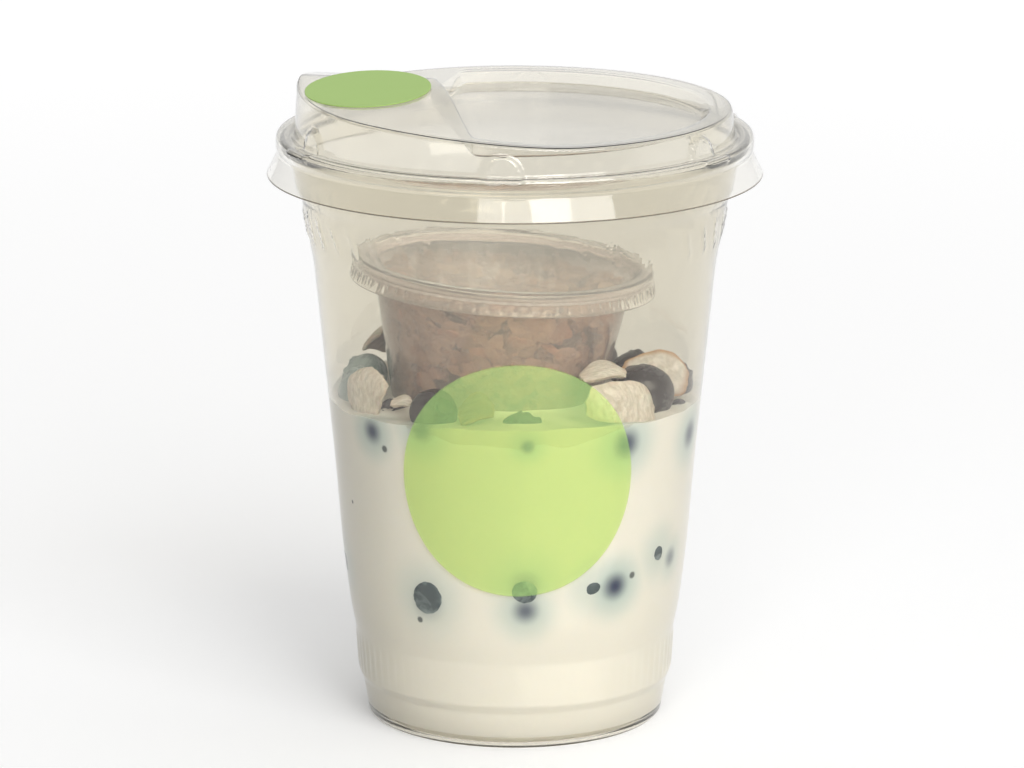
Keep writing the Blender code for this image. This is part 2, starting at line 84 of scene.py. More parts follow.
RIB_ZONE = (102.6, 109.4)
RIB_SLANT = 0.9
KNURL_COUNT = 84
KNURL_DEPTH = 0.1
KNURL_ZONE = (9.6, 18.4)
CUP_FINE_ZONES = [(102.0, 110.0, 0.8), (9.0, 19.0, 1.2), (0.0, 124.0, 8.0)]

# Lid
LID_STEPS = 480
DOME_ROWS = 14
LID_WALL = 0.28
LID_SKIRT = [
    (51.5, 115.8, 0.0),
    (51.39, 116.03, 0.0),
    (49.5, 119.9, 1.2),
    (49.1, 120.6, 0.4),
    (49.6, 121.6, 0.4),
    (49.6, 123.7, 0.5),
]
LID_SHELF = [(49.0, 124.4, 0.5), (46.9, 124.4, 0.6), (45.7, 123.9, 0.7)]
RIDGE_TOP = 129.6
RIDGE_SHOULDERS = [(45.1, 0.5, 0.2), (44.7, 0.05, 0.15), (43.8, 0.0, 0.1)]
DISH_EDGE_RADIUS = 40.3
DISH_FLOOR = 127.0
DISH_WALL_RUN = 1.8
DISH_WALL_RUN_SIP = 0.8
DISH_CORNER = (-17.9, 11.8)
DISH_CUT_SLOPES = (0.244, -0.184)
DISH_EASE = 1.0
SIP_ANGLE = math.radians(205)
SIP_FULL = math.radians(25)
SIP_END = math.radians(84)
SIP_SLOPE_X = math.tan(math.radians(2.3))
SIP_SLOPE_Y = math.tan(math.radians(5.4))
SIP_CAP = 135.4
LIP_WIDTH = 1.0
LIP_DROP = 0.1
LIP_FALL = 0.3
GAP = 0.3
BUTTON_ANGLES = [math.radians(angle) for angle in (266.8, 206.0, 326.0, 26.0, 86.0, 146.0)]
BUTTON_FOOT = 124.3
BUTTON_OUT = 45.5
BUTTON_RADIUS = 4.2
BUTTON_RELIEF = 0.8
BUTTON_EDGE = 0.45

PLASTIC_IOR = 1.5

# Stickers
TOP_LABEL_RADIUS = 13.0
TOP_LABEL_CENTRE = (-30.2, -8.7, 135.0)
LABEL_THICKNESS = 0.22
FRONT_LABEL_RADIUS = 24.9
FRONT_LABEL_HEIGHT = 59.3
FRONT_LABEL_ANGLE = math.radians(271)
STICKER_INK = 0.18
LABEL_RINGS = 24
LABEL_LAST_RING = 0.994
LABEL_STEPS = 144

# Granola tub and its lid, about the tub's own axis
TUB_STEPS = 288
TUB_BASE = (-4.3, 0.0, 65.6)
TUB_TILT = math.radians(3.8)
TUB_WALL = 0.5
TUB_FOOT_RADIUS = 21.3
TUB_TAPER = 0.204
TUB_LEDGE = 25.6
TUB_RIM_TOP = 30.0
TUB_LID_OUTLINE = [
    (0.0, 29.8, 0.0),
    (26.9, 29.8, 0.5),
    (28.4, 31.5, 0.5),
    (30.7, 31.5, 0.3),
    (31.3, 30.8, 0.3),
    (31.5, 29.2, 0.3),
    (32.0, 26.7, 0.1),
    (31.6, 26.7, 0.1),
    (31.0, 29.0, 0.3),
    (30.7, 30.9, 0.3),
    (28.7, 30.9, 0.3),
    (27.2, 29.2, 0.4),
    (0.0, 29.2, 0.0),
]
TUB_TICK_COUNT = 72
TUB_TICK_DEPTH = 0.38
TUB_TICK_ZONE = (27.1, 29.4)
TUB_TICK_FINE_ZONES = [(26.7, 29.6, 0.4)]

# Yogurt
YOGURT_LEVEL = 68.3
YOGURT_TILT = 0.9
YOGURT_TILT_ANGLE = math.radians(270)
YOGURT_RIPPLE = 0.45
YOGURT_MENISCUS = 0.5
YOGURT_BUMP = 0.55
YOGURT_BUMP_LENGTH = 7
BERRY_LAP = 0.9
BERRY_LAP_REACH = 1.3
YOGURT_INTO_WALL = 0.12
YOGURT_STEPS = 288
YOGURT_TOP_ROWS = 26
YOGURT_LAP = 0.5
YOGURT_FOOT = [(29.7, 0.95), (28.3, 0.95), (26.1, 3.2)]

# Blueberries on the yogurt: name, centre, radius, crown's lean and the way it leans in degrees
TOP_BERRIES = [
    ("berry_left", (-31.9, -6.0, 70.6), 5.0, 40, 140),
    ("berry_left_low", (-25.3, -15.4, 66.7), 4.3, 30, 250),
    ("berry_front_left", (-16.6, -28.5, 71.3), 5.0, 65, 300),
    ("berry_front", (1.5, -32.0, 67.2), 5.2, 25, 20),
    ("berry_right_large", (26.4, -17.2, 72.4), 6.5, 55, 110),
    ("berry_right_back", (25.4, 11.2, 69.6), 5.3, 35, 60),
    ("berry_right_edge", (32.6, -0.2, 71.0), 5.0, 45, 20),
    ("berry_right_small", (33.9, -12.6, 68.5), 1.8, 80, 300),
    ("berry_back_right", (16.5, 26.5, 69.2), 5.6, 30, 120),
    ("berry_back", (2.0, 31.5, 69.8), 5.9, 50, 80),
    ("berry_back_left", (-22.0, 24.0, 68.8), 5.2, 35, 200),
    ("berry_left_back", (-31.5, 9.5, 69.6), 5.0, 60, 170),
]

# Blueberries in the yogurt, pressed flat on the cup's wall: name, way out from the axis in degrees, height,
# radius, press
WALL_BERRIES = [
    ("sunk_berry_1", 239.6, 32.9, 5.4, 1.5),
    ("sunk_berry_2", 273.0, 35.6, 5.0, 0.8),
    ("sunk_berry_3", 297.0, 35.2, 4.4, 0.35),
    ("sunk_berry_4", 324.8, 39.6, 4.4, 0.35),
    ("sunk_berry_5", 188.0, 34.0, 5.2, 0.6),
    ("sunk_berry_6", 20.0, 46.0, 5.4, 0.8),
    ("sunk_berry_7", 62.0, 31.0, 5.0, 0.7),
    ("sunk_berry_8", 104.0, 42.0, 5.6, 0.9),
    ("sunk_berry_9", 148.0, 33.5, 4.8, 0.6),
]
BERRY_COLUMNS = 40
BERRY_ROWS = 30
BERRY_FLATNESS = 0.9
BERRY_ROUGHNESS = 0.03
CROWN_ANGLE = 0.46
CROWN_LOBES = 5
CROWN_WIDTH = 0.22
CROWN_RIDGE = 0.05
CROWN_LOBE_RISE = 0.09
CROWN_DIMPLE = 0.22

# Berries that show as blurs through the yogurt: way out from the axis in degrees, height, radius, darkness
SUNK_BLURS = [
    (220.8, 66.5, 4.2, 0.9),
    (240.3, 69.3, 4.6, 0.8),
    (273.8, 66.7, 2.6, 0.8),
    (306.4, 65.4, 5.2, 0.9),
    (340.6, 62.9, 5.0, 0.8),
    (273.5, 31.0, 4.4, 0.8),
    (273.5, 36.6, 5.4, 0.45),
    (305.2, 34.6, 4.8, 1.0),
    (333.1, 37.3, 3.6, 0.6),
    (239.6, 31.0, 5.6, 0.3),
    (12.0, 64.0, 4.8, 0.8),
    (52.0, 58.0, 4.2, 0.6),
    (88.0, 65.0, 5.0, 0.9),
    (131.0, 61.0, 4.4, 0.7),
    (166.0, 65.5, 4.6, 0.8),
    (70.0, 36.0, 4.6, 0.8),
    (158.0, 38.0, 4.4, 0.7),
]
HALO_REACH = 2.1
HALO_STRENGTH = 0.75
WALL_HALO = 0.55

# Dark flecks at the wall: way out from the axis in degrees, height, radius
FLECKS = [
    (225.9, 63.4, 0.9),
    (312.1, 36.3, 0.9),
    (236.0, 27.4, 0.8),
    (238.5, 29.6, 0.7),
    (205.0, 49.0, 0.5),
]
FLECK_DARKNESS = 0.85

# Coconut chips: name, centre, way it faces, lean back from upright, roll, width, height, bulge
COCONUT_CHIPS = [
    ("chip_left", (-30.6, -18.3, 71.8), 229, 4, 62, 12.4, 9.4, 0.9),
    ("chip_left_bit", (-23.4, -21.0, 71.8), 250, 62, 0, 4.0, 3.0, 0.4),
    ("chip_right_low", (22.2, -29.0, 72.8), 300, 6, -22, 16.2, 9.0, 1.3),
    ("chip_right_flat", (18.0, -21.0, 78.4), 280, 72, 4, 9.6, 6.0, 0.9),
    ("chip_right_tall", (29.0, -7.6, 73.8), 272, 6, -10, 14.2, 9.4, 0.8),
    ("chip_front", (-8.0, -29.8, 72.4), 262, 50, 12, 7.2, 6.5, 0.9),
    ("chip_back", (9.0, 32.0, 76.6), 75, 62, 20, 12.0, 8.0, 1.2),
    ("chip_back_left", (-10.6, 30.8, 74.6), 105, 30, -15, 11.0, 8.0, 1.2),
    ("chip_left_back", (-28.2, 17.2, 76.8), 140, 40, 10, 12.0, 9.0, 1.4),
]
CHIP_THICKNESS = 0.8
CHIP_COLUMNS = 30
CHIP_ROWS = 22
CHIP_TAPER = 0.62
CHIP_SWEEP = 0.12
CHIP_CUP = 0.35
CHIP_TWIST = 0.25
CHIP_RAGGED = 0.06
CHIP_BUMP = 0.25
CHIP_SOFT_EDGE = 0.22

# Granola, about the tub's axis
GRANOLA_SEED = 11
GRANOLA_FLOOR = 0.9
GRANOLA_TOP = 26.4
GRANOLA_LID_LIMIT = 28.9
GRANOLA_CORE_INSET = 2.6
GRANOLA_CORE_BUMP = 1.1
GRANOLA_AT_WALL = 0.68

# The granola's pieces: how many, how deep under its surface, each side's least half size and spread,
# and for lumps the roughness, the step from one pattern to the next and the fineness of the mesh
CLUSTERS = (150, 2.2, ((2.0, 1.8), (1.7, 1.2), (1.4, 1.0)), 0.55, 1.3, 3)
OATS = (420, 0.9, ((2.6, 1.2), (1.8, 0.8), (0.5, 0.0)))
NUTS = (46, 1.0, ((2.8, 1.4), (1.3, 0.6), (0.8, 0.4)), 0.3, 2.1, 2)
CRUMBS = (900, 0.5, ((0.35, 0.75), (0.35, 0.75), (0.35, 0.75)), 0.5, 0.7, 1)
OAT_PATTERN_STEP = 0.9

# Plastics: tint and the shade that light gets in passing, both linear
# The cup's beige tint is painted light: it stands in for a beige backdrop seen through the clear wall.
CUP_PLASTIC = ((0.83, 0.80, 0.715), (0.94, 0.93, 0.91))
LID_PLASTIC = ((0.955, 0.94, 0.895), (0.94, 0.93, 0.91))
# The skirt's bottom edge is tinted dark: painted shade for the dark line that light bending in the thick
# clear edge gives.
LID_EDGE_PAINTED_SHADE = ((0.30, 0.26, 0.20), (0.94, 0.93, 0.91))
TUB_PLASTIC = ((0.84, 0.78, 0.77), (0.9, 0.89, 0.87))
COVER_PLASTIC = ((0.95, 0.93, 0.90), (0.95, 0.94, 0.92))

# Food and paper: pairs of screen colours of 0 to 255 that a pattern runs between
YOGURT_CREAM = ((233, 232, 224), (227, 223, 213))
YOGURT_HALO = (176, 196, 192)
YOGURT_CORE = (32, 46, 84)
YOGURT_FLECK = (50, 58, 60)
BERRY_DARK = ((44, 36, 36), (112, 108, 114))
BERRY_DUSTY = ((134, 150, 146), (178, 192, 186))
BERRY_SUNK = ((66, 80, 84), (176, 190, 190))
DUSTY_BERRIES = ("berry_left", "berry_left_back", "berry_back_left")
COCONUT_PALE = ((194, 186, 172), (226, 220, 210))
COCONUT_BROWN = ((128, 110, 84), (158, 138, 108))
COCONUT_TOAST = ((150, 108, 66), (196, 160, 118))
TOASTED_CHIPS = ("chip_right_tall", "chip_back")
BROWN_CHIPS = ("chip_front",)
TOP_STICKER_GREEN = ((159, 193, 99), (166, 199, 108))
GRANOLA_CORE = ((92, 74, 64), (128, 100, 82))
GRANOLA_CLUSTER = ((130, 100, 80), (196, 152, 118))
GRANOLA_OAT = ((164, 132, 106), (208, 172, 140))
GRANOLA_NUT = ((150, 104, 76), (208, 154, 116))
GRANOLA_CRUMB = ((116, 90, 74), (184, 146, 116))

# The front sticker's ink and clear film, linear
STICKER_GREEN = ((0.54, 0.92, 0.44), (0.60, 0.98, 0.48))
STICKER_FILM = (0.98, 0.98, 0.77)

# Light. The floor glows more from FLOOR_NEAR to FLOOR_FAR, which are metres from the cup.
FLOOR_SIZE = 20000.0
FLOOR_GLOW_NEAR = 0.13
FLOOR_GLOW_FAR = 0.42
FLOOR_NEAR = 0.15
FLOOR_FAR = 1.6
WORLD_DIM = 0.05
WORLD_BRIGHT = 0.86
WORLD_BRIGHT_WAY = (0.6, 0.75, 0.27)
LAMP_DISTANCE = 6000.0
LAMP_AIM = (0.0, 0.0, 60.0)

# Soft boxes: name, way right of the front and elevation in degrees, width, height, radiance
SOFT_BOXES = [
    ("key_light", 11.5, 30.0, 3000.0, 3400.0, 3.3),
    ("side_light", -12.5, 30.0, 1150.0, 3400.0, 3.3),
    ("fill_light", 31.0, 33.0, 3700.0, 3600.0, 3.7),
]


def smooth_step(value):
    value = min(1.0, max(0.0, value))
    return value * value * (3 - 2 * value)


def band(value, zone, edge):
    """1 inside the zone, falling smoothly to 0 over edge at both ends."""
    low, high = zone
    return smooth_step((value - low) / edge) * smooth_step((high - value) / edge)


def mix(low, high, share):
    return low + (high - low) * share


def polar(radius, angle, height):
    return Vector((radius * math.cos(angle), radius * math.sin(angle), height))


def rounded(corners, steps=FILLET_STEPS):
    """(radius, height, rounding) corners as (radius, height) points, with each corner bent to a curve."""
    points = [Vector((radius, height)) for radius, height, _ in corners]
    made = []
    for index, (point, corner) in enumerate(zip(points, corners)):
        rounding = corner[2]
        if rounding == 0.0 or index in (0, len(points) - 1):
            made.append(point)
            continue
        before = points[index - 1] - point
        after = points[index + 1] - point
        start = point + before * min(rounding / before.length, 0.45)
        end = point + after * min(rounding / after.length, 0.45)
        for step in range(steps + 1):
            share = step / steps
            made.append((1 - share) ** 2 * start + 2 * share * (1 - share) * point + share**2 * end)
    return [(point.x, point.y) for point in made]


def refined(points, zones):
    """Adds points so that no stretch inside a zone (low, high, longest) is longer than its longest."""
    made = [points[0]]
    for start, end in zip(points, points[1:]):
        length = math.dist(start, end)
        longest = length
        bottom, top = sorted((start[1], end[1]))
        for low, high, limit in zones:
            if top > low and bottom < high and length > limit:
                longest = min(longest, limit)
        count = max(1, math.ceil(length / longest)) if length > 0 else 1
        for step in range(1, count + 1):
            share = step / count
            made.append((mix(start[0], end[0], share), mix(start[1], end[1], share)))
    return made


def mesh_of(name, points, faces, smooth_angle=60):
    mesh = bpy.data.meshes.new(name)
    mesh.from_pydata([point * MM for point in points], [], faces)
    mesh.validate()
    mesh.shade_smooth()
    mesh.set_sharp_from_angle(angle=math.radians(smooth_angle))
    return mesh


def loft_mesh(name, rows, smooth_angle=60, outward=True):
    """Joins rows of equally many points; a row of one point closes that end with a fan."""
    points = []
    starts = []
    for row in rows:
        starts.append(len(points))
        points.extend(row)
    faces = []
    for index in range(len(rows) - 1):
        upper, lower = rows[index], rows[index + 1]
        first, second = starts[index], starts[index + 1]
        count = max(len(upper), len(lower))
        for step in range(count):
            after = (step + 1) % count
            if len(upper) == 1:
                face = (first, second + step, second + after)
            elif len(lower) == 1:
                face = (first + step, second, first + after)
            else:
                face = (first + step, second + step, second + after, first + after)
            faces.append(face if outward else face[::-1])
    return mesh_of(name, points, faces, smooth_angle)


def turned_rows(outline, steps, shape=None, place=None):
    """Rows of points for an outline turned round Z; shape(radius, height, angle) gives a point's radius."""
    rows = []
    for radius, height in outline:
        if radius == 0.0:
            row = [Vector((0.0, 0.0, height))]
        else:
            row = []
            for step in range(steps):
                angle = math.tau * step / steps
                reach = shape(radius, height, angle) if shape else radius
                row.append(polar(reach, angle, height))
        if place is not None:
            row = [place @ point for point in row]
        rows.append(row)
    return rows


def add_piece(name, mesh, look, slot, *nodes):
    piece = bpy.data.objects.new(name, mesh)
    bpy.context.scene.collection.objects.link(piece)
    mesh.materials.clear()
    mesh.materials.append(look)
    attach(piece, "root")
    if nodes:
        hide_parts(*nodes)
    return piece


# Materials


class Look:
    """A material's node tree, with short calls for the nodes that the looks here are made of."""

    def __init__(self, name):
        self.material = bpy.data.materials.new(name)
        self.material.use_nodes = True
        self.tree = self.material.node_tree
        self.tree.nodes.clear()
        self.output = self.tree.nodes.new("ShaderNodeOutputMaterial")
        self.place = self.tree.nodes.new("ShaderNodeTexCoord").outputs["Object"]

    def node(self, kind, **settings):
        made = self.tree.nodes.new(kind)
        for name, value in settings.items():
            setattr(made, name, value)
        return made

    def join(self, value, socket):
        if isinstance(value, bpy.types.NodeSocket):
            self.tree.links.new(value, socket)
        else:
            socket.default_value = value

    def principled(self, **values):
        shader = self.node("ShaderNodeBsdfPrincipled")
        for name, value in values.items():
            self.join(value, shader.inputs[name.replace("_", " ").title().replace("Ior", "IOR")])
        return shader

    def noise(self, scale, detail=3.0, roughness=0.5, distortion=0.0, place=None):
        made = self.node("ShaderNodeTexNoise")
        self.join(place or self.place, made.inputs["Vector"])
        made.inputs["Scale"].default_value = scale
        made.inputs["Detail"].default_value = detail
        made.inputs["Roughness"].default_value = roughness
        made.inputs["Distortion"].default_value = distortion
        return made.outputs["Fac"]

    def ramp(self, value, stops):
        made = self.node("ShaderNodeValToRGB")
        elements = made.color_ramp.elements
        while len(elements) < len(stops):
            elements.new(0.5)
        for element, (position, colour) in zip(elements, stops):
            element.position = position
            element.color = (*colour, 1.0)
        self.join(value, made.inputs["Fac"])
        return made.outputs["Color"]

    def fade(self, value, low, high, to_low=0.0, to_high=1.0):
        made = self.node("ShaderNodeMapRange", interpolation_type="SMOOTHSTEP")
        self.join(value, made.inputs["Value"])
        limits = {"From Min": low, "From Max": high, "To Min": to_low, "To Max": to_high}
        for name, number in limits.items():
            made.inputs[name].default_value = number
        return made.outputs["Result"]

    def math(self, operation, first, second=0.0):
        made = self.node("ShaderNodeMath", operation=operation)
        self.join(first, made.inputs[0])
        self.join(second, made.inputs[1])
        return made.outputs[0]

    def blend(self, share, first, second):
        made = self.node("ShaderNodeMix", data_type="RGBA")
        self.join(share, made.inputs["Factor"])
        for value, socket in ((first, made.inputs["A"]), (second, made.inputs["B"])):
            self.join(value if isinstance(value, bpy.types.NodeSocket) else (*value, 1.0), socket)
        return made.outputs["Result"]

    def distance(self, point, place=None):
        made = self.node("ShaderNodeVectorMath", operation="DISTANCE")
        self.join(place or self.place, made.inputs[0])
        made.inputs[1].default_value = point
        return made.outputs["Value"]

    def bump(self, height, distance, strength=1.0):
        made = self.node("ShaderNodeBump")
        made.inputs["Strength"].default_value = strength
        made.inputs["Distance"].default_value = distance
        self.join(height, made.inputs["Height"])
        return made.outputs["Normal"]

    def finish(self, shader):
        self.tree.links.new(shader.outputs[0], self.output.inputs["Surface"])
        return self.material


def colour(red, green, blue):
    """A screen colour of 0 to 255 as the linear values that a shader takes."""
    made = []
    for value in (red, green, blue):
        share = value / 255
        made.append(share / 12.92 if share <= 0.04045 else ((share + 0.055) / 1.055) ** 2.4)
    return tuple(made)


def screen(pair):
    return [colour(*shade) for shade in pair]


def clear_plastic(name, colours, roughness, haze=0.0):
    """Plastic that bends light, clear but for its haze, and dims the lamps' light as a film would."""
    tint, shade = colours
    look = Look(name)
    grain = look.noise(60.0, 2.0)
    shader = look.principled(
        base_color=(*tint, 1.0),
        roughness=look.fade(grain, 0.3, 0.7, roughness * 0.7, roughness),
        ior=PLASTIC_IOR,
        transmission_weight=1.0 - haze,
    )
    film = look.node("ShaderNodeBsdfTransparent")
    film.inputs["Color"].default_value = (*shade, 1.0)
    ray = look.node("ShaderNodeLightPath")
    blend = look.node("ShaderNodeMixShader")
    look.tree.links.new(ray.outputs["Is Shadow Ray"], blend.inputs["Fac"])
    look.tree.links.new(shader.outputs[0], blend.inputs[1])
    look.tree.links.new(film.outputs[0], blend.inputs[2])
    return look.finish(blend)


def spot_share(look, spots, inner, outer):
    """The darkest of the spots (centre, radius, darkness) at a place, fading from inner to outer radius."""
    total = None
    for centre, radius, darkness in spots:
        away = look.distance(centre)
        share = look.fade(away, radius * inner, radius * outer, darkness, 0.0)
        total = share if total is None else look.math("MAXIMUM", total, share)
    return total


def wall_spot(way, height, radius, darkness):
    """A spot of the yogurt on the cup's wall as (centre, radius, darkness), in metres."""
    return polar(inside_radius(height), math.radians(way), height) * MM, radius * MM, darkness


def yogurt_look():
    look = Look("yogurt")
    cream = look.blend(look.noise(9.0, 2.0), *screen(YOGURT_CREAM))
    blurs = [wall_spot(*blur) for blur in SUNK_BLURS]
    wall = [wall_spot(way, height, radius, WALL_HALO) for _, way, height, radius, _ in WALL_BERRIES]
    halo = spot_share(look, blurs + wall, 0.4, HALO_REACH)
    core = spot_share(look, blurs, 0.05, 0.85)
    fleck = spot_share(look, [wall_spot(*spot, FLECK_DARKNESS) for spot in FLECKS], 0.5, 1.1)
    tone = look.blend(look.math("MULTIPLY", halo, HALO_STRENGTH), cream, colour(*YOGURT_HALO))
    tone = look.blend(core, tone, colour(*YOGURT_CORE))
    tone = look.blend(fleck, tone, colour(*YOGURT_FLECK))
    shader = look.principled(
        base_color=tone,
        roughness=0.42,
        subsurface_weight=0.12,
        subsurface_scale=0.004,
        normal=look.bump(look.noise(220.0, 3.0), 0.00012, 0.5),
    )
    shader.inputs["Subsurface Radius"].default_value = (1.0, 0.8, 0.55)
    return look.finish(shader)


def berry_look(name, colours, most_bloom):
    """Blueberry skin with patches of bloom."""
    look = Look(name)
    patches = look.noise(150.0, 4.0, 0.6, 0.6)
    fine = look.noise(900.0, 3.0, 0.7)
    most = look.fade(patches, 0.42, 0.72, 0.0, most_bloom)
    share = look.math("MULTIPLY", most, look.fade(fine, 0.3, 0.7, 0.6, 1.0))
    shader = look.principled(
        base_color=look.blend(share, *screen(colours)),
        roughness=look.fade(share, 0.0, 0.6, 0.24, 0.6),
        specular_ior_level=0.6,
        normal=look.bump(look.noise(500.0, 4.0, 0.6), 0.0002, 0.6),
    )
    return look.finish(shader)


def coconut_look(name, toast, colours):
    """Dry coconut flesh with fine fibres between two colours, toasted along its edge by a share."""
    look = Look(name)
    stretch = look.node("ShaderNodeMapping")
    look.tree.links.new(look.place, stretch.inputs["Vector"])
    stretch.inputs["Scale"].default_value = (600.0, 2400.0, 600.0)
    fibres = look.noise(1.0, 3.0, 0.6, 0.0, stretch.outputs["Vector"])
    flesh = look.blend(look.fade(fibres, 0.3, 0.7), *screen(colours))
    brown = look.blend(look.noise(500.0), *screen(COCONUT_TOAST))
    attribute = look.node("ShaderNodeAttribute", attribute_name="edge")
    edge = look.math("MULTIPLY", look.fade(attribute.outputs["Fac"], 0.72, 1.0), toast)
    shader = look.principled(
        base_color=look.blend(edge, flesh, brown),
        roughness=0.62,
        subsurface_weight=0.15,
        subsurface_scale=0.0015,
        normal=look.bump(fibres, 0.0004, 0.9),
    )
    return look.finish(shader)


def food_look(name, colours, scale, roughness=0.75, bump=0.0005):
    look = Look(name)
    patches = look.noise(scale, 4.0, 0.65, 0.4)
    low, high = screen(colours)
    shader = look.principled(
        base_color=look.ramp(patches, [(0.3, low), (0.7, high)]),
        roughness=roughness,
        specular_ior_level=0.3,
        normal=look.bump(look.noise(scale * 3, 4.0, 0.7), bump, 0.8),
    )
    return look.finish(shader)


def front_sticker_look():
    """A thin green film, mostly tinted clear, whose ink scatters some of the light that passes it."""
    look = Look("sticker_film")
    mottle = look.noise(40.0, 3.0)
    ink = look.principled(
        base_color=look.blend(mottle, *STICKER_GREEN),
        roughness=0.42,
        specular_ior_level=0.4,
        normal=look.bump(look.noise(1500.0, 2.0), 0.00003, 0.4),
    )
    film = look.node("ShaderNodeBsdfTransparent")
    film.inputs["Color"].default_value = (*STICKER_FILM, 1.0)
    blend = look.node("ShaderNodeMixShader")
    blend.inputs["Fac"].default_value = STICKER_INK
    look.tree.links.new(film.outputs[0], blend.inputs[1])
    look.tree.links.new(ink.outputs[0], blend.inputs[2])
    return look.finish(blend)


def top_sticker_look():
    look = Look("sticker_paper")
    shader = look.principled(
        base_color=look.blend(look.noise(50.0, 3.0), *screen(TOP_STICKER_GREEN)),
        roughness=0.4,
        specular_ior_level=0.4,
        normal=look.bump(look.noise(1500.0, 2.0), 0.00003, 0.4),
    )
    return look.finish(shader)


# Cup


def wall_radius(height):
    """Outer radius of the cup's wall at a height."""
    for (upper_radius, upper, _), (lower_radius, lower, _) in zip(WALL_OUTLINE, WALL_OUTLINE[1:]):
        if lower <= height <= upper:
            return mix(lower_radius, upper_radius, (height - lower) / (upper - lower))
    return WALL_OUTLINE[-1][0]


def inside_radius(height):
    return wall_radius(height) - CUP_WALL


def cup_shape(radius, height, angle):
    """The wall's radius with the short ribs under the rim and the fine knurls of the lower band."""
    turn = angle + RIB_SLANT * (height - RIB_ZONE[0]) / 100
    rib = max(0.0, math.cos(RIB_COUNT * turn)) ** 5 * band(height, RIB_ZONE, 1.2)
    knurl = math.cos(KNURL_COUNT * angle) * band(height, KNURL_ZONE, 1.2) if radius > 30 else 0.0
    return radius + RIB_DEPTH * rib + KNURL_DEPTH * knurl


def make_cup(plastic):
    inside = [(radius - CUP_WALL, height, rounding) for radius, height, rounding in reversed(WALL_OUTLINE)]
    outline = rounded(FLOOR_OUTLINE + inside + RIM_BEAD + WALL_OUTLINE + FOOT_OUTLINE)
    outline = refined(outline, CUP_FINE_ZONES)
    mesh = loft_mesh("cup_wall", turned_rows(outline, CUP_STEPS, cup_shape))
    return add_piece("cup_wall", mesh, plastic, "clear_plastic", "cup")


# Lid


def sip_plane(x, y):
    """Height of the raised sip side, which falls to the front and outwards under the sticker."""
    centre_x, centre_y, centre_z = TOP_LABEL_CENTRE
    height = centre_z - GAP + SIP_SLOPE_X * (x - centre_x) + SIP_SLOPE_Y * (y - centre_y)
    return min(height, SIP_CAP)


def sip_share(angle):
    """1 where the lid's top is the sip side, 0 where it is the plain ridge."""
    away = abs((angle - SIP_ANGLE + math.pi) % math.tau - math.pi)
    return 1 - smooth_step((away - SIP_FULL) / (SIP_END - SIP_FULL))


def lid_top(radius, angle):
    x = radius * math.cos(angle)
    y = radius * math.sin(angle)
    return RIDGE_TOP + sip_share(angle) * (sip_plane(x, y) - RIDGE_TOP)


def dish_radius(angle):
    """The dish is round, cut off on the sip side by two straight edges that meet in a blunt corner, and
    eased where they meet the round."""
    corner_x, corner_y = DISH_CORNER
    cut = 2 * DISH_EDGE_RADIUS
    for slope in DISH_CUT_SLOPES:
        toward = slope * math.sin(angle) - math.cos(angle)
        if toward > 0:
            cut = min(cut, (slope * corner_y - corner_x) / toward)
    ease = math.exp(-DISH_EDGE_RADIUS / DISH_EASE) + math.exp(-cut / DISH_EASE)
    return -DISH_EASE * math.log(ease)


def lid_corners(angle):
    share = sip_share(angle)
    corners = LID_SKIRT + LID_SHELF
    corners += [(radius, lid_top(radius, angle) - drop, bend) for radius, drop, bend in RIDGE_SHOULDERS]
    edge = dish_radius(angle)
    lip = edge + LIP_WIDTH
    foot = edge - mix(DISH_WALL_RUN, DISH_WALL_RUN_SIP, share)
    corners.append((lip, lid_top(lip, angle) - LIP_DROP, 0.4))
    corners.append((edge, lid_top(edge, angle) - LIP_FALL, mix(0.4, 1.6, share)))
    corners.append((foot, DISH_FLOOR, 0.6))
    corners.append((foot - 3.0, DISH_FLOOR, 0.0))
    return corners


def button_lift(radius, height, angle):
    """How far the half-round buttons at the dome's foot stand out."""
    if radius < 40 or height < BUTTON_FOOT - 1:
        return 0.0
    lift = 0.0
    for place in BUTTON_ANGLES:
        away = ((angle - place + math.pi) % math.tau - math.pi) * BUTTON_OUT
        reach = math.hypot(away, height - BUTTON_FOOT)
        lift += smooth_step((BUTTON_RADIUS - reach) / BUTTON_EDGE)
    return BUTTON_RELIEF * lift


def make_lid(plastic, edge):
    columns = []
    dome = len(LID_SKIRT) + len(LID_SHELF)
    for step in range(LID_STEPS):
        angle = math.tau * step / LID_STEPS
        corners = lid_corners(angle)
        lower = rounded(corners[: dome + 1])[:-1]
        upper = rounded(corners[dome - 1 :])[1:]
        foot, head = lower[-1], upper[0]
        shares = [row / DOME_ROWS for row in range(1, DOME_ROWS)]
        rise = [(mix(foot[0], head[0], share), mix(foot[1], head[1], share)) for share in shares]
        column = []
        for radius, height in lower + rise + upper:
            column.append(polar(radius + button_lift(radius, height, angle), angle, height))
        columns.append(column)
    rows = [[column[index] for column in columns] for index in range(len(columns[0]))]
    rows.append([Vector((0.0, 0.0, DISH_FLOOR))])
    mesh = loft_mesh("lid_shell", rows, outward=False)
    lid = add_piece("lid_shell", mesh, plastic, "clear_plastic", "lid")
    shell = lid.modifiers.new("wall", "SOLIDIFY")
    shell.thickness = LID_WALL * MM
    shell.offset = -1.0
    shell.material_offset_rim = 1
    # Faces of the skirt's bottom edge take the second, dark plastic: painted shade for the line that light
    # bending in the edge draws.
    lid.data.materials.append(edge)
    for face in lid.data.polygons:
        if face.center.z < LID_SKIRT[1][1] * MM:
            face.material_index = 1
    return lid


# Stickers


def disc_rows(radius, place):
    rows = [[place(0.0, 0.0)]]
    shares = [ring / LABEL_RINGS for ring in range(1, LABEL_RINGS)] + [LABEL_LAST_RING, 1.0]
    for share in shares:
        reach = radius * share
        angles = [math.tau * step / LABEL_STEPS for step in range(LABEL_STEPS)]
        rows.append([place(reach * math.cos(angle), reach * math.sin(angle)) for angle in angles])
    return rows


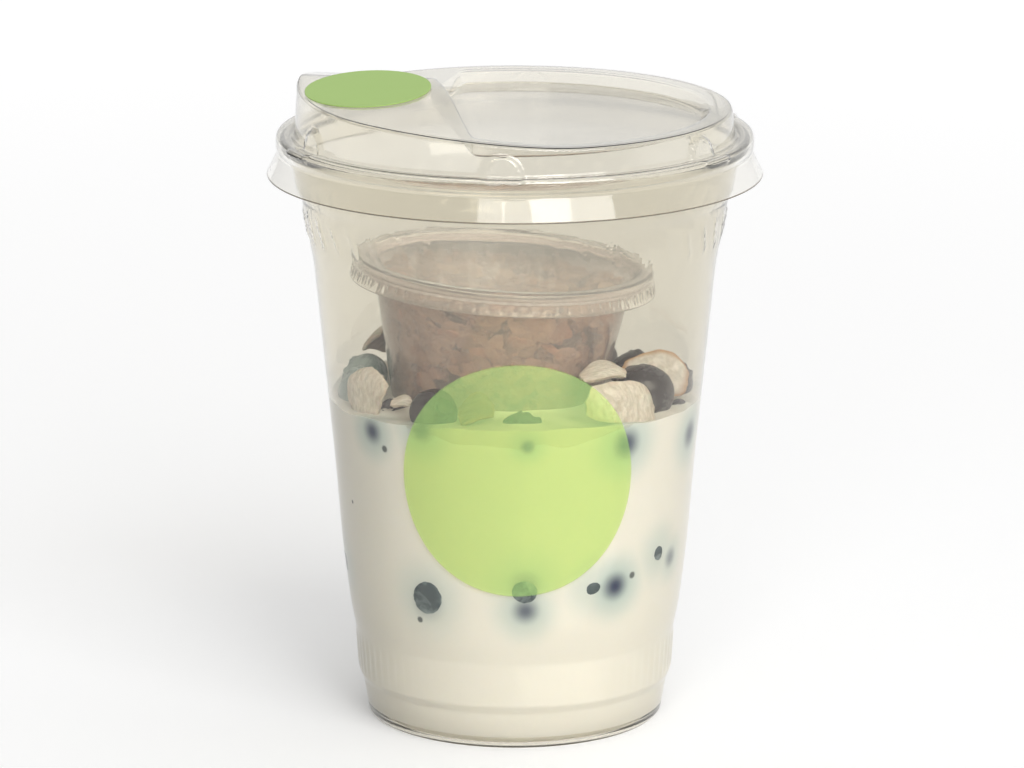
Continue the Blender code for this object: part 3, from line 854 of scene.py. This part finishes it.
def make_sticker(name, radius, place, look, node):
    sticker = add_piece(name, loft_mesh(name, disc_rows(radius, place)), look, "sticker", node)
    shell = sticker.modifiers.new("paper", "SOLIDIFY")
    shell.thickness = LABEL_THICKNESS * MM
    shell.offset = 1.0
    return sticker


def make_stickers():
    def on_wall(across, up):
        height = FRONT_LABEL_HEIGHT + up
        radius = wall_radius(height) + 0.05
        return polar(radius, FRONT_LABEL_ANGLE + across / radius, height)

    def on_lid(across, up):
        x = TOP_LABEL_CENTRE[0] + across
        y = TOP_LABEL_CENTRE[1] + up
        return Vector((x, y, TOP_LABEL_CENTRE[2] + SIP_SLOPE_X * across + SIP_SLOPE_Y * up - 0.2))

    make_sticker("front_sticker", FRONT_LABEL_RADIUS, on_wall, front_sticker_look(), "label_front")
    make_sticker("top_sticker", TOP_LABEL_RADIUS, on_lid, top_sticker_look(), "label_top")


# Granola tub


TUB_PLACE = Matrix.Translation(Vector(TUB_BASE)) @ Matrix.Rotation(TUB_TILT, 4, "Y")


def tub_radius(height):
    """Outer radius of the tub's tapered wall at a height over its foot."""
    return TUB_FOOT_RADIUS + TUB_TAPER * height


def tub_lid_shape(radius, height, angle):
    tick = max(0.0, math.cos(TUB_TICK_COUNT * angle)) ** 3 * band(height, TUB_TICK_ZONE, 0.6)
    return radius - TUB_TICK_DEPTH * tick if radius > 30.5 else radius


def make_tub(plastic, cover_plastic):
    ledge = tub_radius(TUB_LEDGE)
    inside = [
        (0.0, TUB_WALL, 0.0),
        (TUB_FOOT_RADIUS - 1.0, TUB_WALL, 0.6),
        (tub_radius(1.3) - TUB_WALL, 1.3, 0.6),
        (ledge - TUB_WALL, TUB_LEDGE, 0.4),
        (27.5, 26.5, 0.3),
        (27.7, 29.2, 0.3),
        (29.0, TUB_RIM_TOP, 0.3),
    ]
    outside = [
        (30.4, TUB_RIM_TOP, 0.3),
        (30.4, 28.8, 0.3),
        (29.0, 29.3, 0.2),
        (28.2, 29.0, 0.2),
        (28.0, 26.4, 0.3),
        (ledge, TUB_LEDGE, 0.4),
        (tub_radius(0.9), 0.9, 0.5),
        (TUB_FOOT_RADIUS - 0.6, 0.0, 0.4),
        (0.0, 0.0, 0.0),
    ]
    rows = turned_rows(rounded(inside + outside), TUB_STEPS, place=TUB_PLACE)
    add_piece("tub_wall", loft_mesh("tub_wall", rows), plastic, "tub_plastic", "portion_cup")
    outline = refined(rounded(TUB_LID_OUTLINE), TUB_TICK_FINE_ZONES)
    rows = turned_rows(outline, TUB_STEPS * 2, tub_lid_shape, TUB_PLACE)
    add_piece("tub_cover", loft_mesh("tub_cover", rows), cover_plastic, "tub_plastic", "portion_lid")


# Yogurt


def yogurt_top(x, y):
    radius = math.hypot(x, y)
    angle = math.atan2(y, x)
    share = radius / inside_radius(YOGURT_LEVEL)
    height = YOGURT_LEVEL + YOGURT_TILT * math.cos(angle - YOGURT_TILT_ANGLE)
    height += YOGURT_RIPPLE * math.sin(3 * angle) * share
    height += YOGURT_MENISCUS * smooth_step((share - 0.85) / 0.15)
    height += YOGURT_BUMP * noise.noise(Vector((x / YOGURT_BUMP_LENGTH, y / YOGURT_BUMP_LENGTH, 2.0)))
    for _, centre, size, _, _ in TOP_BERRIES:
        away = math.hypot(x - centre[0], y - centre[1]) - size * 0.8
        lap = BERRY_LAP * math.exp(-max(0.0, away) / BERRY_LAP_REACH)
        height += lap * (1 if away > -size * 0.4 else 0.6)
    return height


def make_yogurt(look):
    """From the middle of the tub's foot out and up its wall, over the top, and down the cup's wall."""
    steps = YOGURT_STEPS
    angles = [math.tau * step / steps for step in range(steps)]
    rows = [[TUB_PLACE @ Vector((0.0, 0.0, -0.1))]]
    for radius, height in ((TUB_FOOT_RADIUS - 0.7, -0.1), (tub_radius(0.9) - 0.1, 0.8)):
        rows.append([TUB_PLACE @ polar(radius, angle, height) for angle in angles])
    inner = []
    outer = []
    for angle in angles:
        low = 0.8
        high = 12.0
        for _ in range(24):
            middle = (low + high) / 2
            point = TUB_PLACE @ polar(tub_radius(middle) - 0.1, angle, middle)
            if point.z < yogurt_top(point.x, point.y) + YOGURT_LAP:
                low = middle
            else:
                high = middle
        inner.append(TUB_PLACE @ polar(tub_radius(low) - 0.1, angle, low))
        outer.append(polar(inside_radius(YOGURT_LEVEL) + YOGURT_INTO_WALL, angle, 0.0))
    rows.append(inner)
    for row in range(1, YOGURT_TOP_ROWS + 1):
        share = row / YOGURT_TOP_ROWS
        made = []
        for start, end in zip(inner, outer):
            x = mix(start.x, end.x, share)
            y = mix(start.y, end.y, share)
            climb = YOGURT_LAP * math.exp(-row / 1.2)
            made.append(Vector((x, y, yogurt_top(x, y) + climb)))
        rows.append(made)
    side = [(radius - CUP_WALL + YOGURT_INTO_WALL, height, bend) for radius, height, bend in WALL_OUTLINE]
    side = [point for point in rounded(side) if point[1] < YOGURT_LEVEL - 5]
    for radius, height in side + YOGURT_FOOT:
        rows.append([polar(radius, angle, height) for angle in angles])
    rows.append([Vector((0.0, 0.0, 3.7))])
    mesh = loft_mesh("yogurt_fill", rows)
    return add_piece("yogurt_fill", mesh, look, "yogurt", "yogurt")


# Blueberries


def berry_point(polar_angle, way, radius, seed):
    """A point of a blueberry: a slightly flat ball with a dimpled crown of five lobes on top."""
    out = math.sin(polar_angle)
    up = math.cos(polar_angle) * BERRY_FLATNESS
    crown = polar_angle / CROWN_ANGLE
    lobes = 0.5 + 0.5 * math.cos(CROWN_LOBES * way + seed)
    ridge = math.exp(-(((crown - 1.0) / CROWN_WIDTH) ** 2)) * (CROWN_RIDGE + CROWN_LOBE_RISE * lobes)
    dimple = -CROWN_DIMPLE * (1 - smooth_step((crown - 0.15) / 0.8))
    direction = Vector((out * math.cos(way), out * math.sin(way), up))
    rough = 1 + BERRY_ROUGHNESS * noise.noise(direction * 1.7 + Vector((seed, 0.0, 0.0)))
    return (direction * rough + Vector((0.0, 0.0, ridge + dimple))) * radius


def berry_rows(radius, seed):
    rows = [[berry_point(0.0, 0.0, radius, seed)]]
    for row in range(1, BERRY_ROWS):
        share = row / BERRY_ROWS
        polar_angle = math.pi * (0.62 * share + 0.38 * share * share)
        ways = [math.tau * step / BERRY_COLUMNS for step in range(BERRY_COLUMNS)]
        rows.append([berry_point(polar_angle, way, radius, seed) for way in ways])
    rows.append([berry_point(math.pi, 0.0, radius, seed)])
    return rows


def press_to_wall(point):
    """A point that would pass the cup's wall, moved back until it is just inside the plastic."""
    reach = math.hypot(point.x, point.y)
    most = inside_radius(point.z) + 2 * YOGURT_INTO_WALL
    if reach > most:
        return Vector((point.x * most / reach, point.y * most / reach, point.z))
    return point


def make_berries(dark, dusty, sunk):
    for index, (name, centre, radius, lean, way) in enumerate(TOP_BERRIES):
        turn = Matrix.Rotation(math.radians(way), 3, "Z") @ Matrix.Rotation(math.radians(lean), 3, "Y")
        rows = berry_rows(radius, index * 1.7)
        rows = [[turn @ point + Vector(centre) for point in row] for row in rows]
        piece_name = name.replace("berry", "blueberry")
        look = dusty if name in DUSTY_BERRIES else dark
        add_piece(piece_name, loft_mesh(piece_name, rows), look, "blueberry", name)
    for index, (name, way, height, radius, press) in enumerate(WALL_BERRIES):
        angle = math.radians(way)
        centre = polar(inside_radius(height) - radius + press, angle, height)
        turn = Matrix.Rotation(angle, 3, "Z") @ Matrix.Rotation(math.radians(60 + 70 * index), 3, "X")
        rows = []
        for row in berry_rows(radius, index * 2.3 + 0.5):
            rows.append([press_to_wall(turn @ point + centre) for point in row])
        piece_name = name.replace("berry", "blueberry")
        add_piece(piece_name, loft_mesh(piece_name, rows), sunk, "blueberry", name)


# Coconut chips


def chip_mesh(name, width, height, bulge, place, seed):
    """A curved shard with rounded ends and an uneven edge; its attribute "edge" rises to 1 at the rim."""
    form = bmesh.new()
    bmesh.ops.create_grid(form, x_segments=CHIP_COLUMNS, y_segments=CHIP_ROWS, size=0.5)
    rim = form.verts.layers.float.new("edge")
    for corner in form.verts:
        across, up = 2 * corner.co.x, 2 * corner.co.y
        corner[rim] = max(abs(across), abs(up))
        narrow = math.sqrt(1 - CHIP_TAPER * across * across)
        sweep = CHIP_SWEEP * math.sin(2.2 * across + 1.0)
        twist = CHIP_TWIST * math.sin(3 * across + up)
        ragged = noise.noise(Vector((across * 3 + seed, up * 3, 0.0))) * corner[rim] ** 2
        ragged = 1 + CHIP_RAGGED * ragged
        x = across * width / 2 * ragged * (1 - 0.12 * up * up * abs(across))
        y = (up * height / 2 * narrow + sweep * height) * ragged
        z = bulge * (twist - across * across - CHIP_CUP * up * up)
        z += CHIP_BUMP * noise.noise(Vector((x / 2.2 + seed, y / 2.2, 0.5)))
        corner.co = Vector((x, y, z)) * MM
    mesh = bpy.data.meshes.new(name)
    form.to_mesh(mesh)
    form.free()
    mesh.transform(place)
    mesh.shade_smooth()
    return mesh


def make_chips(plain, toasted, brown):
    for index, (name, centre, way, lean, roll, width, height, bulge) in enumerate(COCONUT_CHIPS):
        turn = Matrix.Rotation(math.radians(way + 90), 4, "Z")
        turn = turn @ Matrix.Rotation(math.radians(90 - lean), 4, "X")
        turn = turn @ Matrix.Rotation(math.radians(roll), 4, "Z")
        place = Matrix.Translation(Vector(centre) * MM) @ turn
        piece_name = "coconut_" + name
        mesh = chip_mesh(piece_name, width, height, bulge, place, index * 3.1)
        look = toasted if name in TOASTED_CHIPS else brown if name in BROWN_CHIPS else plain
        chip = add_piece(piece_name, mesh, look, "coconut", name)
        shell = chip.modifiers.new("flesh", "SOLIDIFY")
        shell.thickness = CHIP_THICKNESS * MM
        shell.offset = 0.0
        soft = chip.modifiers.new("soft_edge", "BEVEL")
        soft.width = CHIP_SOFT_EDGE * MM
        soft.segments = 2
        soft.limit_method = "ANGLE"


# Granola


def granola_limit(height):
    """How far out the granola reaches at a height over the tub's foot."""
    return tub_radius(max(height, GRANOLA_FLOOR)) - TUB_WALL - 0.12


def kept_in_tub(point):
    height = min(max(point.z, GRANOLA_FLOOR), GRANOLA_LID_LIMIT)
    reach = math.hypot(point.x, point.y)
    most = granola_limit(height)
    share = min(1.0, most / reach) if reach > 0 else 1.0
    return Vector((point.x * share, point.y * share, height))


def lump_parts(centre, size, turn, roughness, seed, fineness):
    """Corners and faces of a rough flattened ball, kept inside the tub."""
    form = bmesh.new()
    bmesh.ops.create_icosphere(form, subdivisions=fineness, radius=1.0)
    form.verts.index_update()
    points = []
    for corner in form.verts:
        rough = 1 + roughness * noise.noise(corner.co * 1.9 + Vector((seed, seed * 0.7, 0.0)))
        rough += roughness * 0.5 * noise.noise(corner.co * 4.3 + Vector((0.0, seed, 0.0)))
        point = Vector([corner.co[axis] * size[axis] * rough for axis in range(3)])
        points.append(TUB_PLACE @ kept_in_tub(turn @ point + centre))
    faces = [tuple(vert.index for vert in face.verts) for face in form.faces]
    form.free()
    return points, faces


def flake_parts(centre, size, turn, seed):
    """Corners and faces of a rolled oat: a thin oval, dished, with a crease along the middle."""
    form = bmesh.new()
    bmesh.ops.create_uvsphere(form, u_segments=12, v_segments=8, radius=1.0)
    form.verts.index_update()
    points = []
    for corner in form.verts:
        x, y, z = corner.co
        rim = math.hypot(x, y)
        rough = 1 + 0.16 * noise.noise(Vector((x * 2 + seed, y * 2, 0.0)))
        crease = 0.35 * math.exp(-((y / 0.16) ** 2)) * (1 - rim)
        lift = size[2] * (z * 0.5 + 0.5 * rim * rim - crease)
        point = Vector((x * size[0] * rough, y * size[1] * rough, lift))
        points.append(TUB_PLACE @ kept_in_tub(turn @ point + centre))
    faces = [tuple(vert.index for vert in face.verts) for face in form.faces]
    form.free()
    return points, faces


def any_turn(draw):
    turn = Matrix.Rotation(draw.random() * math.tau, 3, "Z")
    turn = turn @ Matrix.Rotation(draw.random() * math.pi, 3, "X")
    return turn @ Matrix.Rotation(draw.random() * math.tau, 3, "Z")


def wall_turn(angle, draw):
    """Lays a flake's face roughly on the tub's wall."""
    lean = math.pi / 2 + (draw.random() - 0.5) * 1.1
    turn = Matrix.Rotation(angle, 3, "Z") @ Matrix.Rotation(lean, 3, "Y")
    return turn @ Matrix.Rotation(draw.random() * math.tau, 3, "Z")


def granola_place(draw, depth):
    """A place near the wall or the top of the heap, with its angle and whether it is on top."""
    angle = draw.random() * math.tau
    if draw.random() < GRANOLA_AT_WALL:
        height = mix(GRANOLA_FLOOR + 1.0, GRANOLA_TOP, draw.random())
        radius = granola_limit(height) - depth * (0.4 + draw.random())
        return polar(radius, angle, height), angle, False
    radius = (granola_limit(GRANOLA_TOP) - 1.0) * math.sqrt(draw.random())
    return polar(radius, angle, GRANOLA_TOP + (draw.random() - 0.35) * 1.8), angle, True


def drawn_size(draw, sides):
    return [least + spread * draw.random() if spread else least for least, spread in sides]


def lumps(draw, kind):
    """Rough lumps of a kind, strewn through the granola."""
    count, depth, sides, roughness, pattern_step, fineness = kind
    made = []
    for index in range(count):
        centre, _, _ = granola_place(draw, depth)
        size = drawn_size(draw, sides)
        seed = index * pattern_step
        made.append(lump_parts(centre, size, any_turn(draw), roughness, seed, fineness))
    return made


def flakes(draw, kind):
    """Rolled oats, flat against the tub's wall and any way up on top."""
    count, depth, sides = kind
    made = []
    for index in range(count):
        centre, angle, on_top = granola_place(draw, depth)
        size = drawn_size(draw, sides)
        turn = any_turn(draw) if on_top else wall_turn(angle, draw)
        made.append(flake_parts(centre, size, turn, index * OAT_PATTERN_STEP))
    return made


def joined(name, parts, look):
    points = []
    faces = []
    for part_points, part_faces in parts:
        first = len(points)
        points.extend(part_points)
        faces.extend(tuple(first + index for index in face) for face in part_faces)
    return add_piece(name, mesh_of(name, points, faces), look, "granola")


def make_granola(looks):
    draw = random.Random(GRANOLA_SEED)
    brim = granola_limit(GRANOLA_TOP) - GRANOLA_CORE_INSET
    foot = granola_limit(GRANOLA_FLOOR) - GRANOLA_CORE_INSET
    corners = [(0.0, GRANOLA_TOP, 0.0), (brim, GRANOLA_TOP - 1.0, 2.0)]
    corners += [(foot, GRANOLA_FLOOR, 1.0), (0.0, GRANOLA_FLOOR, 0.0)]
    outline = refined(rounded(corners), [(0.0, 30.0, 1.5)])

    def bumpy(radius, height, angle):
        return radius + GRANOLA_CORE_BUMP * noise.noise(polar(radius, angle, height) / 2.4)

    rows = turned_rows(outline, 96, bumpy, TUB_PLACE)
    add_piece("granola_core", loft_mesh("granola_core", rows), looks["core"], "granola", "granola")

    joined("granola_clusters", lumps(draw, CLUSTERS), looks["cluster"])
    joined("granola_oats", flakes(draw, OATS), looks["oat"])
    joined("granola_nuts", lumps(draw, NUTS), looks["nut"])
    joined("granola_crumbs", lumps(draw, CRUMBS), looks["crumb"])


# Stage


def add_light(name, kind, energy, place, aim, size):
    data = bpy.data.lights.new(name, kind)
    data.energy = energy
    data.shape = "RECTANGLE"
    data.size = size[0] * MM
    data.size_y = size[1] * MM
    lamp = bpy.data.objects.new(name, data)
    bpy.context.scene.collection.objects.link(lamp)
    lamp.location = Vector(place) * MM
    lamp.rotation_euler = (Vector(aim) - Vector(place)).to_track_quat("-Z", "Y").to_euler()
    return lamp


def make_stage():
    form = bmesh.new()
    bmesh.ops.create_grid(form, x_segments=1, y_segments=1, size=FLOOR_SIZE / 2 * MM)
    mesh = bpy.data.meshes.new("floor")
    form.to_mesh(mesh)
    form.free()
    floor = bpy.data.objects.new("floor", mesh)
    bpy.context.scene.collection.objects.link(floor)
    look = Look("floor")
    white = (1.0, 1.0, 1.0, 1.0)
    glow = look.fade(look.distance((0.0, 0.0, 0.0)), FLOOR_NEAR, FLOOR_FAR, FLOOR_GLOW_NEAR, FLOOR_GLOW_FAR)
    paper = look.principled(
        base_color=(0.93, 0.93, 0.93, 1.0), roughness=0.9, emission_color=white, emission_strength=glow
    )
    mesh.materials.append(look.finish(paper))


def make_light():
    scene = bpy.context.scene
    world = bpy.data.worlds.new("studio")
    scene.world = world
    world.use_nodes = True
    nodes = world.node_tree.nodes
    links = world.node_tree.links
    sky = nodes["Background"]
    sky.inputs["Color"].default_value = (1.0, 1.0, 1.0, 1.0)
    direction = nodes.new("ShaderNodeVectorMath")
    direction.operation = "DOT_PRODUCT"
    direction.inputs[1].default_value = WORLD_BRIGHT_WAY
    links.new(nodes.new("ShaderNodeTexCoord").outputs["Generated"], direction.inputs[0])
    depth = nodes.new("ShaderNodeMapRange")
    depth.inputs["From Min"].default_value = -1.0
    depth.inputs["To Min"].default_value = WORLD_DIM
    depth.inputs["To Max"].default_value = WORLD_BRIGHT
    links.new(direction.outputs["Value"], depth.inputs["Value"])
    links.new(depth.outputs["Result"], sky.inputs["Strength"])
    for name, way, elevation, width, height, radiance in SOFT_BOXES:
        rise = math.radians(elevation)
        out = LAMP_DISTANCE * math.cos(rise)
        place = polar(out, math.radians(way - 90), LAMP_DISTANCE * math.sin(rise))
        power = radiance * math.pi * width * height * MM * MM
        add_light(name, "AREA", power, place, LAMP_AIM, (width, height))
    scene.view_settings.view_transform = "Standard"
    scene.cycles.max_bounces = 18
    scene.cycles.transmission_bounces = 18
    scene.cycles.transparent_max_bounces = 18
    scene.cycles.diffuse_bounces = 3
    scene.cycles.glossy_bounces = 4


def make_camera():
    data = bpy.data.cameras.new("camera")
    data.lens = CAMERA_LENS
    data.sensor_width = CAMERA_SENSOR
    data.clip_end = 50.0
    camera = bpy.data.objects.new("camera", data)
    scene = bpy.context.scene
    scene.collection.objects.link(camera)
    aim = Vector(CAMERA_AIM)
    back = Vector((0.0, -math.cos(CAMERA_ELEVATION), math.sin(CAMERA_ELEVATION)))
    camera.location = (aim + back * CAMERA_DISTANCE) * MM
    camera.rotation_euler = (-back).to_track_quat("-Z", "Y").to_euler()
    scene.camera = camera


def main():
    make_camera()
    make_light()
    make_stage()
    make_cup(clear_plastic("cup_plastic", CUP_PLASTIC, 0.03))
    lid_plastic = clear_plastic("lid_plastic", LID_PLASTIC, 0.07)
    make_lid(lid_plastic, clear_plastic("lid_edge_painted_shade", LID_EDGE_PAINTED_SHADE, 0.08, 0.4))
    make_stickers()
    tub_plastic = clear_plastic("tub_plastic", TUB_PLASTIC, 0.15, 0.16)
    make_tub(tub_plastic, clear_plastic("cover_plastic", COVER_PLASTIC, 0.06, 0.1))
    make_yogurt(yogurt_look())
    dark = berry_look("blueberry", BERRY_DARK, 0.6)
    dusty = berry_look("blueberry_dusty", BERRY_DUSTY, 0.8)
    sunk = berry_look("blueberry_sunk", BERRY_SUNK, 0.85)
    make_berries(dark, dusty, sunk)
    make_chips(
        coconut_look("coconut", 0.15, COCONUT_PALE),
        coconut_look("coconut_toasted", 1.0, COCONUT_PALE),
        coconut_look("coconut_brown", 0.6, COCONUT_BROWN),
    )
    make_granola(
        {
            "core": food_look("granola_core", GRANOLA_CORE, 180.0),
            "cluster": food_look("granola_cluster", GRANOLA_CLUSTER, 260.0),
            "oat": food_look("granola_oat", GRANOLA_OAT, 300.0),
            "nut": food_look("granola_nut", GRANOLA_NUT, 150.0, 0.6, 0.0002),
            "crumb": food_look("granola_crumb", GRANOLA_CRUMB, 400.0),
        }
    )


main()
